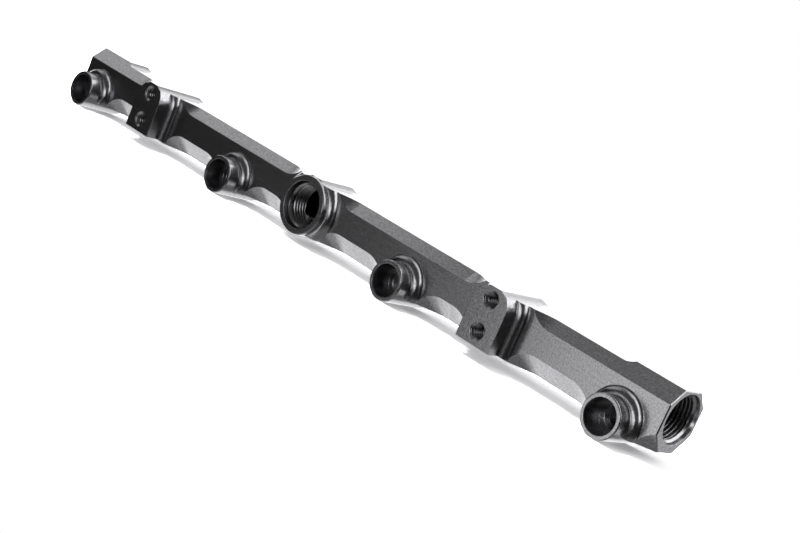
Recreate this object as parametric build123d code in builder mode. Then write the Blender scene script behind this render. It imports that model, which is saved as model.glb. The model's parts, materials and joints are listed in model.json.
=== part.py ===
from build123d import *
from math import radians, tan
import os

os.makedirs("parts", exist_ok=True)

# Frame: X runs along the rail, Y into the rail from its front face, Z up.
# The origin lies on the first injector pocket's axis, in the plane of the front face.

# Bar, in millimetres
injector_pitch = 111.76
injector_count = 4
left_overhang = 13.4
right_overhang = 17.5
bar_height = 23.9
bar_depth = 22.8
injector_rise = 3.85
upper_chamfer = 5.85
lower_chamfer = 7.35
edge_break = 0.35

# Ends of the front chamfers, left by the round cutter
runout_radius = 12.5
runout_start = 22.0

# Shallow relief along the top of the bar
relief_depth = 1.5
relief_radius = 7.0
relief_start = 7.2
end_block = 19.5

# Injector bosses, their O-ring pockets and the feed holes into the gallery
boss_radius = 8.3
boss_height = 9.5
boss_flat_depth = 0.1
cove_radius = 3.2
pocket_radius = 6.73
pocket_depth = 10.0
feed_radius = 3.0
feed_lead = 1.5
feed_past_gallery_axis = 1.0

# Mounting pads with two tapped holes each
pad_shift = 5.9
pad_radius = 8.6
pad_height = 9.4
pad_base_height = 0.8
pad_arc_height = 16.25
pad_hole_height = 6.35
pad_hole_spacing = 12.7
pad_hole_radius = 3.175
pad_hole_lead = 0.35
pad_hole_depth = 12.0
drill_half_angle = 59.0

# Straight-thread ports with a tapered O-ring seat, and the gallery that joins them
port_face_radius = 12.75
port_shift = 5.6
port_drop = 0.1
port_height = 5.35
thread_radius = 9.525
thread_length = 14.5
front_seat_depth = 2.4
end_seat_depth = 1.3
seat_half_angle = 17.0
gallery_radius = 8.0
gallery_rise = 13.0

# Levels and places that follow from them
underside = -injector_rise
top = underside + bar_height
stock_bottom = boss_flat_depth - boss_radius
gallery_y = bar_depth / 2
gallery_z = underside + gallery_rise
last_injector_x = (injector_count - 1) * injector_pitch
left_end = -left_overhang
right_end = last_injector_x + right_overhang
rail_length = right_end - left_end
injector_xs = [i * injector_pitch for i in range(injector_count)]
pad_xs = [injector_pitch / 2 - pad_shift, last_injector_x - injector_pitch / 2 - pad_shift]
port_x = last_injector_x / 2 - port_shift
port_z = top - port_drop - port_face_radius
off_left = left_end - injector_pitch
off_right = right_end + injector_pitch
pad_base_z = underside + pad_base_height
pad_arc_z = underside + pad_arc_height
pad_hole_zs = [underside + pad_hole_height + n * pad_hole_spacing for n in (0, 1)]
overlap = 1.0

# A cutter's wide end lies at its hole's mouth
hole_end = (Align.CENTER, Align.CENTER, Align.MAX)

# Planes: one faces out of the rail's front, the other looks into it
front = Plane.XZ
inward = Plane(origin=(0, 0, 0), x_dir=(1, 0, 0), z_dir=(0, 1, 0))
across = Plane.YZ


def gaps_between(centres, clearance):
    # Stretches of the bar between neighbouring features, less the clearance at each
    spans = zip(centres[:-1], centres[1:])
    return [(a + clearance, b - clearance) for a, b in spans]


def cove_profile(radius):
    # Hollow quarter round between a boss wall at this radius and the front face
    with BuildLine() as outline:
        RadiusArc((radius, -cove_radius), (radius + cove_radius, 0), -cove_radius)
        Polyline(
            (radius + cove_radius, 0),
            (radius + cove_radius, overlap),
            (radius - overlap, overlap),
            (radius - overlap, -cove_radius),
            (radius, -cove_radius),
        )
    make_face(outline.edges())


def rim_profile(radius, height):
    # Triangle that takes the corner off a boss of this radius and height
    with BuildLine() as outline:
        Polyline(
            (radius - edge_break, -height),
            (radius + edge_break, -height),
            (radius + edge_break, 2 * edge_break - height),
            close=True,
        )
    make_face(outline.edges())


def cut_front_chamfer(stretches, depth, centre_z):
    # A round-ended slot that narrows at 45 degrees leaves the chamfer and its run-outs
    for start, end in stretches:
        with BuildSketch(inward) as slot:
            with Locations(((start + end) / 2, -centre_z)):
                SlotCenterToCenter(end - start, 2 * runout_radius)
        extrude(slot.sketch, amount=depth + overlap, taper=45, mode=Mode.SUBTRACT)


def cut_port(mouth, depth, seat_depth):
    # Threaded bore at its major diameter, the seat at its mouth and the drill's end
    seat_radius = thread_radius + seat_depth * tan(radians(seat_half_angle))
    end_cone = (thread_radius - gallery_radius) / tan(radians(drill_half_angle))
    with Locations(mouth):
        Hole(thread_radius, depth=depth)
        Cone(thread_radius, seat_radius, seat_depth, align=hole_end, mode=Mode.SUBTRACT)
        with Locations((0, 0, -depth)):
            Cone(gallery_radius, thread_radius, end_cone, align=hole_end, mode=Mode.SUBTRACT)


# Coves where the bosses, pads and port meet the front face, held to the bar's height
with BuildPart() as coves:
    rounds = [(x, 0, boss_radius) for x in injector_xs]
    rounds += [(x, pad_arc_z, pad_radius) for x in pad_xs]
    rounds += [(port_x, port_z, port_face_radius)]
    for x, z, radius in rounds:
        with BuildSketch(Plane.XY.move(Location((x, 0, z)))):
            cove_profile(radius)
        revolve(axis=Axis((x, 0, z), (0, 1, 0)))
    for x in pad_xs:
        with BuildSketch(Plane.XY.move(Location((x, 0, pad_base_z)))):
            cove_profile(pad_radius)
            mirror(about=Plane.YZ)
        extrude(amount=pad_arc_z - pad_base_z)
    with BuildSketch(Plane.XY.offset(underside)):
        with Locations(((left_end + right_end) / 2, 0)):
            Rectangle(rail_length, 4 * cove_radius)
    extrude(amount=bar_height, mode=Mode.INTERSECT)

with BuildPart() as rail_body:
    # Bar with a square section
    with BuildSketch(across.offset(left_end)):
        with Locations((gallery_y, (underside + top) / 2)):
            Rectangle(bar_depth, bar_height)
    extrude(amount=rail_length)

    # Front chamfers, stopped by run-outs at whatever stands on the front face
    upper_stops = [off_left, *pad_xs, port_x, off_right]
    lower_stops = [off_left, *injector_xs, *pad_xs, port_x, off_right]
    upper_gaps = gaps_between(sorted(upper_stops), runout_start)
    lower_gaps = gaps_between(sorted(lower_stops), runout_start)
    cut_front_chamfer(upper_gaps, upper_chamfer, top - upper_chamfer + runout_radius)
    cut_front_chamfer(lower_gaps, lower_chamfer, underside + lower_chamfer - runout_radius)

    # Injector bosses and the port's boss run the whole depth and show below as ridges
    with BuildSketch(front.offset(boss_height)):
        with Locations(*[(x, 0) for x in injector_xs]):
            Circle(boss_radius)
    extrude(amount=-boss_height - bar_depth)
    with BuildSketch(front.offset(port_height)):
        with Locations((port_x, port_z)):
            Circle(port_face_radius)
    extrude(amount=-port_height - bar_depth)

    # Mounting pads, round above and square below
    with BuildSketch(front.offset(pad_height)):
        with Locations(*[(x, pad_arc_z) for x in pad_xs]):
            Circle(pad_radius)
        with Locations(*[(x, (pad_base_z + pad_arc_z) / 2) for x in pad_xs]):
            Rectangle(2 * pad_radius, pad_arc_z - pad_base_z)
    extrude(amount=-pad_height - overlap)
    add(coves.part)

    # The stock's top and bottom planes and the two plain rear chamfers
    with BuildSketch(across.offset(left_end)):
        with BuildLine():
            Polyline(
                (-boss_height, stock_bottom),
                (bar_depth - lower_chamfer + stock_bottom - underside, stock_bottom),
                (bar_depth, underside + lower_chamfer),
                (bar_depth, top - upper_chamfer),
                (bar_depth - upper_chamfer, top),
                (-boss_height, top),
                close=True,
            )
        make_face()
    extrude(amount=rail_length, mode=Mode.INTERSECT)

    # Relief along the top, with a round run-out at each end of a stretch
    relief_stops = [left_end + end_block, *pad_xs, port_x, right_end - end_block]
    for start, end in gaps_between(sorted(relief_stops), relief_start):
        with BuildSketch(front.offset(boss_height)):
            with Locations(((start + end) / 2, top - relief_depth + relief_radius)):
                SlotCenterToCenter(end - start, 2 * relief_radius)
        extrude(amount=-boss_height - bar_depth, mode=Mode.SUBTRACT)

    # Broken edges on the end faces and around the bosses and port
    for end in (0, -1):
        end_face = faces().sort_by(Axis.X)[end]
        chamfer(end_face.outer_wire().edges(), edge_break)
    rims = [(x, 0, boss_radius, boss_height) for x in injector_xs]
    rims += [(port_x, port_z, port_face_radius, port_height)]
    for x, z, radius, height in rims:
        with BuildSketch(Plane.XY.move(Location((x, 0, z)))) as bevel:
            rim_profile(radius, height)
        revolve(bevel.sketch, axis=Axis((x, 0, z), (0, 1, 0)), mode=Mode.SUBTRACT)

    # Injector pockets with their feed holes
    with Locations(front.offset(boss_height).location):
        with Locations(*[(x, 0) for x in injector_xs]):
            CounterBoreHole(
                feed_radius,
                counter_bore_radius=pocket_radius,
                counter_bore_depth=pocket_depth,
                depth=boss_height + gallery_y + feed_past_gallery_axis,
            )
            with Locations((0, 0, -pocket_depth)):
                Cone(feed_radius, feed_radius + feed_lead, feed_lead,
                     align=hole_end, mode=Mode.SUBTRACT)

    # Tapped holes in the pads, each with its drill point
    drill_point = pad_hole_radius / tan(radians(drill_half_angle))
    with Locations(front.offset(pad_height).location):
        with Locations(*[(x, z) for x in pad_xs for z in pad_hole_zs]):
            CounterSinkHole(
                pad_hole_radius,
                counter_sink_radius=pad_hole_radius + pad_hole_lead,
                depth=pad_hole_depth,
                counter_sink_angle=90,
            )
            with Locations((0, 0, -pad_hole_depth)):
                Cone(0, pad_hole_radius, drill_point, align=hole_end, mode=Mode.SUBTRACT)

    # Gallery from end to end, the two end ports and the port in the front
    left_mouth = Plane(origin=(left_end, gallery_y, gallery_z), z_dir=(-1, 0, 0))
    right_mouth = Plane(origin=(right_end, gallery_y, gallery_z), z_dir=(1, 0, 0))
    front_mouth = Plane(origin=(port_x, -port_height, port_z), z_dir=(0, -1, 0))
    with Locations(left_mouth.location):
        Hole(gallery_radius, depth=rail_length)
    cut_port(left_mouth.location, thread_length, end_seat_depth)
    cut_port(right_mouth.location, thread_length, end_seat_depth)
    cut_port(front_mouth.location, port_height + gallery_y, front_seat_depth)

rail_body.part.label = "rail_body"
export_step(rail_body.part, "parts/rail_body.step")
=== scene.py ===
import bpy, json, math
import numpy as np
from mathutils import Matrix, Vector


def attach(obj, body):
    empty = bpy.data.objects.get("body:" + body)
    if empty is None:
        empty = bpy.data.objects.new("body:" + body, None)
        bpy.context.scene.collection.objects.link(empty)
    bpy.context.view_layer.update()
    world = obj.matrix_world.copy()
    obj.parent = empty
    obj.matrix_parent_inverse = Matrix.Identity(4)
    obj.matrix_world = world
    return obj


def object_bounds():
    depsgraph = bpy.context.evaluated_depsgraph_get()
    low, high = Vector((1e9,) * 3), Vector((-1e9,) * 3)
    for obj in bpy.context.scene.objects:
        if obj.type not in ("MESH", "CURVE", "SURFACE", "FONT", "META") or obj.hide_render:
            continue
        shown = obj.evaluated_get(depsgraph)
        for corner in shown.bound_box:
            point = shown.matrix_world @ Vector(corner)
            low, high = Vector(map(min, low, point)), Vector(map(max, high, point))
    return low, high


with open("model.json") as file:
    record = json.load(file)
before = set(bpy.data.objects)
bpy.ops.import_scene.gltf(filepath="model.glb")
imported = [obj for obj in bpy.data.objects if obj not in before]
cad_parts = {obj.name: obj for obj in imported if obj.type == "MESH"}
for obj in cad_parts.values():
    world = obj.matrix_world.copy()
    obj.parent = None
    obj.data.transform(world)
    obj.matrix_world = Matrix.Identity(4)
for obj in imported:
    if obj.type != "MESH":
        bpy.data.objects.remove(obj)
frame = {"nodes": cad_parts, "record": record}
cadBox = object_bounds()
mounts = {m["name"]: m for m in frame["record"]["mounts"]}
print("frame loaded:", ", ".join(frame["nodes"]))


def addNode(tree, kind, inputs=None, **props):
    node = tree.nodes.new(kind)
    for name, value in props.items():
        setattr(node, name, value)
    for key, value in (inputs or {}).items():
        if isinstance(value, bpy.types.NodeSocket):
            tree.links.new(value, node.inputs[key])
        else:
            node.inputs[key].default_value = value
    return node


def newTree(mat):
    mat.use_nodes = True
    mat.node_tree.nodes.clear()
    return mat.node_tree


metalSettings = {
    # the pale edge colour is partly worn anodising and partly a painted edge highlight
    "dark": (0.355, 0.350, 0.366, 1), "light": (0.405, 0.400, 0.412, 1), "edgeWearAndHighlight": (0.62, 0.62, 0.63, 1),
    "roughLow": 0.20, "roughHigh": 0.27,
    "grainScale": 2400, "grainDepth": 0.000005, "speckleScale": 1300, "speckleDepth": 0.22,
    "toolLines": (60, 2600, 2600), "toolDepth": 0.000003,
    "arcPitch": 0.11176, "arcCentre": -0.012, "arcScale": 260, "arcDepth": 0.0000013,
    "arcWarp": 1.5, "arcDetail": 4.0, "cloudScale": 38.0,
    "edgeRadius": 0.00032, "edgeFrom": 0.985, "edgeTo": 0.80, "noiseLow": 0.3, "noiseHigh": 0.7,
}


# Satin anodised metal. Fine grain is noise in metres; tool lines are noise stretched along
# the rail; cutter arcs are rings round the Y axis, repeated at every injector; the broken
# edges come from comparing the rounded normal with the flat one, and there the colour is
# lightened to a pale grey that is partly worn anodising and partly a painted edge highlight
def satinMetal():
    s = metalSettings
    mat = bpy.data.materials.new("satinAnodised")
    tree = newTree(mat)
    place = addNode(tree, "ShaderNodeTexCoord").outputs["Object"]
    split = addNode(tree, "ShaderNodeSeparateXYZ", {0: place})
    wrapped = addNode(tree, "ShaderNodeMath", {
        0: split.outputs[0], 1: s["arcPitch"] + s["arcCentre"], 2: s["arcCentre"]}, operation="WRAP")
    arcPlace = addNode(tree, "ShaderNodeCombineXYZ", {0: wrapped.outputs[0], 2: split.outputs[2]})
    arcs = addNode(tree, "ShaderNodeTexWave", {
        "Vector": arcPlace.outputs[0], "Scale": s["arcScale"], "Distortion": s["arcWarp"],
        "Detail": 2.0, "Detail Scale": s["arcDetail"]}, wave_type="RINGS", rings_direction="Y")
    stretched = addNode(tree, "ShaderNodeMapping", {"Vector": place, "Scale": s["toolLines"]})
    lines = addNode(tree, "ShaderNodeTexNoise", {
        "Vector": stretched.outputs[0], "Scale": 1.0, "Detail": 3.0})
    grain = addNode(tree, "ShaderNodeTexNoise", {
        "Vector": place, "Scale": s["grainScale"], "Detail": 3.0, "Roughness": 0.6})
    cloud = addNode(tree, "ShaderNodeTexNoise", {
        "Vector": place, "Scale": s["cloudScale"], "Detail": 4.0, "Roughness": 0.55})
    rounded = addNode(tree, "ShaderNodeBevel", {"Radius": s["edgeRadius"]}, samples=4)
    flat = addNode(tree, "ShaderNodeNewGeometry")
    facing = addNode(tree, "ShaderNodeVectorMath", {
        0: rounded.outputs[0], 1: flat.outputs["Normal"]}, operation="DOT_PRODUCT")
    edge = addNode(tree, "ShaderNodeMapRange", {
        "Value": facing.outputs["Value"], "From Min": s["edgeFrom"], "From Max": s["edgeTo"]})
    # edge mask in cloudy patches: the colour there is lightened, partly worn anodising, partly a painted
    # edge highlight
    wearAndHighlight = addNode(tree, "ShaderNodeMath", {0: edge.outputs[0], 1: cloud.outputs[0]}, operation="MULTIPLY")
    tone = addNode(tree, "ShaderNodeMix", {
        0: cloud.outputs[0], 6: s["dark"], 7: s["light"]}, data_type="RGBA")
    speckle = addNode(tree, "ShaderNodeTexNoise", {
        "Vector": place, "Scale": s["speckleScale"], "Detail": 2.0, "Roughness": 0.7})
    shade = addNode(tree, "ShaderNodeMapRange", {
        "Value": speckle.outputs[0], "From Min": s["noiseLow"], "From Max": s["noiseHigh"],
        "To Min": 1 - s["speckleDepth"], "To Max": 1 + s["speckleDepth"]})
    mottled = addNode(tree, "ShaderNodeVectorMath", {
        0: tone.outputs[2], "Scale": shade.outputs[0]}, operation="SCALE")
    colour = addNode(tree, "ShaderNodeMix", {
        0: wearAndHighlight.outputs[0], 6: mottled.outputs[0], 7: s["edgeWearAndHighlight"]}, data_type="RGBA")
    rough = addNode(tree, "ShaderNodeMapRange", {
        "Value": lines.outputs[0], "From Min": s["noiseLow"], "From Max": s["noiseHigh"],
        "To Min": s["roughLow"], "To Max": s["roughHigh"]})
    bump = rounded.outputs[0]
    for height, depth in ((arcs.outputs[1], s["arcDepth"]), (lines.outputs[0], s["toolDepth"]),
                          (grain.outputs[0], s["grainDepth"])):
        bump = addNode(tree, "ShaderNodeBump", {
            "Height": height, "Normal": bump,
            "Strength": 1.0, "Distance": depth}).outputs[0]
    shader = addNode(tree, "ShaderNodeBsdfPrincipled", {
        "Base Color": colour.outputs[2], "Roughness": rough.outputs[0], "Normal": bump,
        "Metallic": 1.0})
    addNode(tree, "ShaderNodeOutputMaterial", {"Surface": shader.outputs[0]})
    return mat


metal = satinMetal()
body = frame["nodes"]["rail_body"]
body.data.materials.clear()
body.data.materials.append(metal)
print("metal assigned")


# Turns local points (across, up, out) to the hole's own frame, with its mouth as origin
def holeFrame(points, mouth, axis):
    out = Vector(axis).normalized()
    side = Vector((0, 0, 1)) if abs(out.z) < 0.9 else Vector((1, 0, 0))
    side = (side - out * side.dot(out)).normalized()
    turn = np.array([side, out.cross(side), out])
    return points.reshape(-1, 3) @ turn + np.array(mouth)


# Faces between neighbouring rows of a closed profile; the last row meets the first when
# the band is a ring, and otherwise both ends are capped
def bandFaces(rows, width, ring, first):
    last = rows if ring else rows - 1
    i, j = np.meshgrid(np.arange(last), np.arange(width), indexing="ij")
    k, n = (j + 1) % width, (i + 1) % rows
    quads = np.stack([i * width + j, i * width + k, n * width + k, n * width + j], -1)
    faces = [tuple(q) for q in (quads.reshape(-1, 4) + first).tolist()]
    if not ring:
        faces.append(tuple(range(first + width - 1, first - 1, -1)))
        faces.append(tuple(first + (rows - 1) * width + n for n in range(width)))
    return faces


# Lead ring: the tapped hole's 45 degree entry, a profile of radius and depth carried once
# around. Helical ridge: the angle grows along the thread, the profile's corners give
# radius and depth, and the ridge rises from nothing over its first part turn
def tappedHole(name, spec, mouth, axis):
    base = spec["majorRadius"] + spec["embed"]
    crest = spec["minorRadius"]
    rise = spec["majorRadius"] - crest
    start = spec["start"]
    around = np.linspace(0, 2 * np.pi, spec["ringSteps"], endpoint=False)
    ringRadius = np.array([base, crest + 0.00003, crest, crest, base])
    ringDepth = start + np.array([-spec["embed"], rise - 0.00003, rise, rise + 0.00012, rise * 1.6])
    ringPoints = np.stack([np.outer(np.cos(around), ringRadius), np.outer(np.sin(around), ringRadius),
                           -np.broadcast_to(ringDepth, (len(around), 5))], -1)

    pitch = spec["pitch"]
    turns = (spec["length"] - rise * 1.2) / pitch
    steps = int(turns * spec["stepsPerTurn"]) + 1
    t = np.linspace(0.0, turns, steps)
    fade = np.clip(np.minimum(t, turns - t) / spec["fadeTurns"], 0.0, 1.0)
    fade = fade * fade * (3 - 2 * fade)
    offsets = np.array([-7 / 16, -1 / 8, 0.0, 1 / 8, 7 / 16]) * pitch
    heights = np.array([0.0, 0.97, 1.0, 0.97, 0.0])
    radius = base - np.outer(fade, heights) * (base - crest)
    depth = (start + rise * 1.2 + t * pitch)[:, None] + offsets * (0.15 + 0.85 * fade[:, None])
    angle = (2 * np.pi * t)[:, None]
    ridgePoints = np.stack([radius * np.cos(angle), radius * np.sin(angle), -depth], -1)

    points = np.concatenate([holeFrame(ringPoints, mouth, axis), holeFrame(ridgePoints, mouth, axis)])
    faces = bandFaces(len(around), 5, True, 0) + bandFaces(steps, 5, False, len(around) * 5)
    mesh = bpy.data.meshes.new(name)
    mesh.from_pydata(points.tolist(), [], faces)
    mesh.update()
    obj = bpy.data.objects.new(name, mesh)
    bpy.context.scene.collection.objects.link(obj)
    mesh.polygons.foreach_set("use_smooth", [True] * len(mesh.polygons))
    mesh.set_sharp_from_angle(angle=math.radians(28))
    mesh.materials.append(metal)
    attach(obj, "root")


portThread = {
    "pitch": 0.0015875, "majorRadius": 0.009525, "minorRadius": 0.00866, "embed": 0.00006,
    "ringSteps": 180, "stepsPerTurn": 120, "fadeTurns": 0.45,
    "endStart": 0.0013, "endLength": 0.0125, "frontStart": 0.0024, "frontLength": 0.0100,
    "frontFace": 0.00535,
}
padThread = {
    "pitch": 0.00127, "majorRadius": 0.003175, "minorRadius": 0.00258, "embed": 0.00004,
    "ringSteps": 90, "stepsPerTurn": 60, "fadeTurns": 0.4, "start": 0.00035, "length": 0.0108,
}


def mouthOf(mountName, level):
    # the mount's own point, moved along its axis to the face it opens in
    place, axis = Vector(mounts[mountName]["pos_m"]), Vector(mounts[mountName]["axis"])
    return place + axis * (level - place.dot(axis)), axis


for mountName, level, end in (("port_left", -cadBox[0].x, "end"), ("port_right", cadBox[1].x, "end"),
                              ("port_front", portThread["frontFace"], "front")):
    mouth, axis = mouthOf(mountName, level)
    spec = dict(portThread, start=portThread[end + "Start"], length=portThread[end + "Length"])
    tappedHole(mountName + "_thread", spec, mouth, axis)

for mountName in ("pad_left", "pad_right"):
    mount = mounts[mountName]
    for word, step in (("lower", -0.5), ("upper", 0.5)):
        mouth = Vector(mount["pos_m"]) + Vector((0, 0, step * mount["dims"]["spacing_y_mm"] / 1000))
        tappedHole(mountName + "_" + word + "_thread", padThread, mouth, mount["axis"])
print("threads made")


floorZ = cadBox[0].z
middle = (cadBox[0] + cadBox[1]) / 2
floorSettings = {
    "half": 3.0, "colour": (0.93, 0.93, 0.93, 1), "seenColour": (3.4, 3.4, 3.4, 1),
    "fadeFrom": 0.10, "fadeTo": 0.30, "white": 1.0,
}
worldSettings = {"soft": 0.35, "white": 1.0}


def linkStage(name, points, faces, mat):
    mesh = bpy.data.meshes.new(name)
    mesh.from_pydata(points, [], faces)
    mesh.materials.append(mat)
    obj = bpy.data.objects.new(name, mesh)
    bpy.context.scene.collection.objects.link(obj)
    return obj


def seenByEye(tree):
    # 1 for rays that the camera, a gloss or a clear material sends, 0 for soft light
    path = addNode(tree, "ShaderNodeLightPath")
    either = addNode(tree, "ShaderNodeMath", {
        0: path.outputs["Is Camera Ray"], 1: path.outputs["Is Glossy Ray"]}, operation="MAXIMUM")
    return addNode(tree, "ShaderNodeMath", {
        0: either.outputs[0], 1: path.outputs["Is Transmission Ray"]}, operation="MAXIMUM").outputs[0]


# Pale floor. Far from the rail it turns to even white: the distance is that from the
# rail's own line, the length of (x held to the rail's ends, y)
def makeFloor():
    h = floorSettings["half"]
    mat = bpy.data.materials.new("paleFloor")
    tree = newTree(mat)
    place = addNode(tree, "ShaderNodeTexCoord").outputs["Object"]
    split = addNode(tree, "ShaderNodeSeparateXYZ", {0: place})
    held = addNode(tree, "ShaderNodeMath", {
        0: split.outputs[0], 1: cadBox[0].x}, operation="MAXIMUM")
    held = addNode(tree, "ShaderNodeMath", {0: held.outputs[0], 1: cadBox[1].x}, operation="MINIMUM")
    line = addNode(tree, "ShaderNodeCombineXYZ", {0: held.outputs[0], 1: middle.y, 2: floorZ})
    away = addNode(tree, "ShaderNodeVectorMath", {0: place, 1: line.outputs[0]}, operation="DISTANCE")
    far = addNode(tree, "ShaderNodeMapRange", {
        "Value": away.outputs["Value"], "From Min": floorSettings["fadeFrom"],
        "From Max": floorSettings["fadeTo"]}, interpolation_type="SMOOTHSTEP")
    soft = addNode(tree, "ShaderNodeBsdfDiffuse", {"Color": floorSettings["colour"]})
    near = addNode(tree, "ShaderNodeBsdfDiffuse", {"Color": floorSettings["seenColour"]})
    white = addNode(tree, "ShaderNodeEmission", {"Strength": floorSettings["white"]})
    seen = addNode(tree, "ShaderNodeMixShader", {0: far.outputs[0], 1: near.outputs[0], 2: white.outputs[0]})
    mix = addNode(tree, "ShaderNodeMixShader", {
        0: seenByEye(tree), 1: soft.outputs[0], 2: seen.outputs[0]})
    addNode(tree, "ShaderNodeOutputMaterial", {"Surface": mix.outputs[0]})
    floor = linkStage("floor", [(-h, -h, floorZ), (h, -h, floorZ), (h, h, floorZ), (-h, h, floorZ)],
                      [(0, 1, 2, 3)], mat)
    floor.visible_glossy = False


makeFloor()


def makeWorld():
    world = bpy.data.worlds.new("studio")
    bpy.context.scene.world = world
    world.use_nodes = True
    tree = world.node_tree
    tree.nodes.clear()
    soft, white = (addNode(tree, "ShaderNodeBackground", {
        "Color": (1, 1, 1, 1), "Strength": worldSettings[k]}) for k in ("soft", "white"))
    mix = addNode(tree, "ShaderNodeMixShader", {0: seenByEye(tree), 1: soft.outputs[0], 2: white.outputs[0]})
    addNode(tree, "ShaderNodeOutputWorld", {"Surface": mix.outputs[0]})


makeWorld()


# Cards of a few plain tones round the rail, seen only in its reflections. Each is part of
# a sphere: azimuth runs from the front towards the left, and the radius stays the same
cardSettings = {
    "radius": 4.0, "steps": (25, 9),
    "tones": {"black": 0.02, "charcoal": 0.08, "slate": 0.25, "grey": 0.5,
              "silver": 0.8, "white": 1.3, "lit": 1.7, "bright": 2.3},
    "shell": {  # azimuth from and to, elevation from and to, tone
        "underLeft": (90, 180, -90, -28, "white"), "underFront": (0, 90, -90, -28, "grey"),
        "underRight": (-180, 0, -90, -28, "slate"),
        "endCard": (-180, -130, -28, 14, "silver"), "rightBelow": (-130, 14, -28, -2, "black"),
        "rightLow": (-130, -27, -2, 14, "black"), "strip": (-27, 6, -2, 14, "bright"),
        "stripEdge": (6, 32, -2, 14, "silver"), "frontBelow": (14, 32, -28, -2, "white"),
        "frontFade": (32, 44, -28, 14, "charcoal"), "leftLow": (44, 90, -28, 25, "black"),
        "backBelow": (90, 180, -28, -2, "lit"), "backStrip": (90, 180, -2, 14, "bright"),
        "frontHigh": (-75, 44, 14, 45, "charcoal"), "overFront": (-75, 44, 45, 75, "charcoal"),
        "leftMiddle": (44, 60, 25, 50, "slate"), "leftHigh": (60, 90, 25, 50, "silver"),
        "overLeft": (44, 90, 50, 75, "slate"),
        "leftBackMiddle": (90, 120, 14, 25, "silver"), "leftBackHigh": (90, 120, 25, 45, "slate"),
        "backMiddle": (120, 180, 14, 30, "lit"), "backHigh": (120, 180, 30, 45, "white"),
        "overBack": (90, 180, 45, 75, "grey"),
        "rightDim": (-180, -75, 14, 18, "charcoal"), "rightBack": (-180, -75, 18, 75, "bright"),
        "zenith": (-180, 180, 75, 90, "white"),
    },
}


def makeCard(name, points, glow):
    rows, columns = points.shape[:2]
    i, j = np.meshgrid(np.arange(rows - 1), np.arange(columns - 1), indexing="ij")
    corner = (i * columns + j).ravel()
    quads = np.stack([corner, corner + 1, corner + columns + 1, corner + columns], -1)
    mat = bpy.data.materials.new(name)
    tree = newTree(mat)
    shine = addNode(tree, "ShaderNodeEmission", {"Strength": glow})
    addNode(tree, "ShaderNodeOutputMaterial", {"Surface": shine.outputs[0]})
    card = linkStage(name, points.reshape(-1, 3).tolist(), quads.tolist(), mat)
    card.visible_camera = card.visible_diffuse = card.visible_shadow = False
    card.visible_transmission = card.visible_volume_scatter = False


for name, (azFrom, azTo, elFrom, elTo, tone) in cardSettings["shell"].items():
    azSteps, elSteps = cardSettings["steps"]
    az, el = np.meshgrid(np.radians(np.linspace(azFrom, azTo, azSteps)),
                         np.radians(np.linspace(elFrom, elTo, elSteps)), indexing="ij")
    away = np.stack([-np.sin(az) * np.cos(el), -np.cos(az) * np.cos(el), np.sin(el)], -1)
    makeCard(name, np.array(middle) + away * cardSettings["radius"], cardSettings["tones"][tone])
print("cards hung")


lampSettings = {"offset": (-0.45, -0.1, 1.1), "size": (0.7, 0.7), "watts": 16}


# Softbox above the rail, aimed at its middle; it makes the floor's shadow only, since the
# metal's reflections come from the cards
def makeLamp():
    data = bpy.data.lights.new("overheadSoftbox", "AREA")
    data.shape = "RECTANGLE"
    data.size, data.size_y = lampSettings["size"]
    data.energy = lampSettings["watts"]
    obj = bpy.data.objects.new("overheadSoftbox", data)
    bpy.context.scene.collection.objects.link(obj)
    obj.location = middle + Vector(lampSettings["offset"])
    obj.rotation_euler = (middle - obj.location).to_track_quat("-Z", "Y").to_euler()
    obj.visible_glossy = False
    obj.visible_camera = False


makeLamp()

cameraSettings = {
    "place": (0.59363, -0.44906, 0.10880), "yaw": -39.78, "pitch": 10.01, "roll": 23.52,
    "lens": 67.96, "sensor": 36, "near": 0.01,
}


# The camera looks along (sin yaw, cos yaw) turned down by the pitch, then rolls about that line
def makeCamera():
    yaw, pitch, roll = (math.radians(cameraSettings[k]) for k in ("yaw", "pitch", "roll"))
    level = Vector((math.sin(yaw), math.cos(yaw), 0))
    right = Vector((math.cos(yaw), -math.sin(yaw), 0))
    up = Vector((0, 0, 1))
    ahead = level * math.cos(pitch) - up * math.sin(pitch)
    above = level * math.sin(pitch) + up * math.cos(pitch)
    rightRolled = right * math.cos(roll) + above * math.sin(roll)
    aboveRolled = above * math.cos(roll) - right * math.sin(roll)
    data = bpy.data.cameras.new("camera")
    data.lens = cameraSettings["lens"]
    data.sensor_width = cameraSettings["sensor"]
    data.clip_start = cameraSettings["near"]
    obj = bpy.data.objects.new("camera", data)
    bpy.context.scene.collection.objects.link(obj)
    turn = Matrix((rightRolled, aboveRolled, -ahead)).transposed().to_4x4()
    obj.matrix_world = Matrix.Translation(cameraSettings["place"]) @ turn
    bpy.context.scene.camera = obj


makeCamera()
bpy.context.scene.view_settings.view_transform = "Standard"
print("studio made")
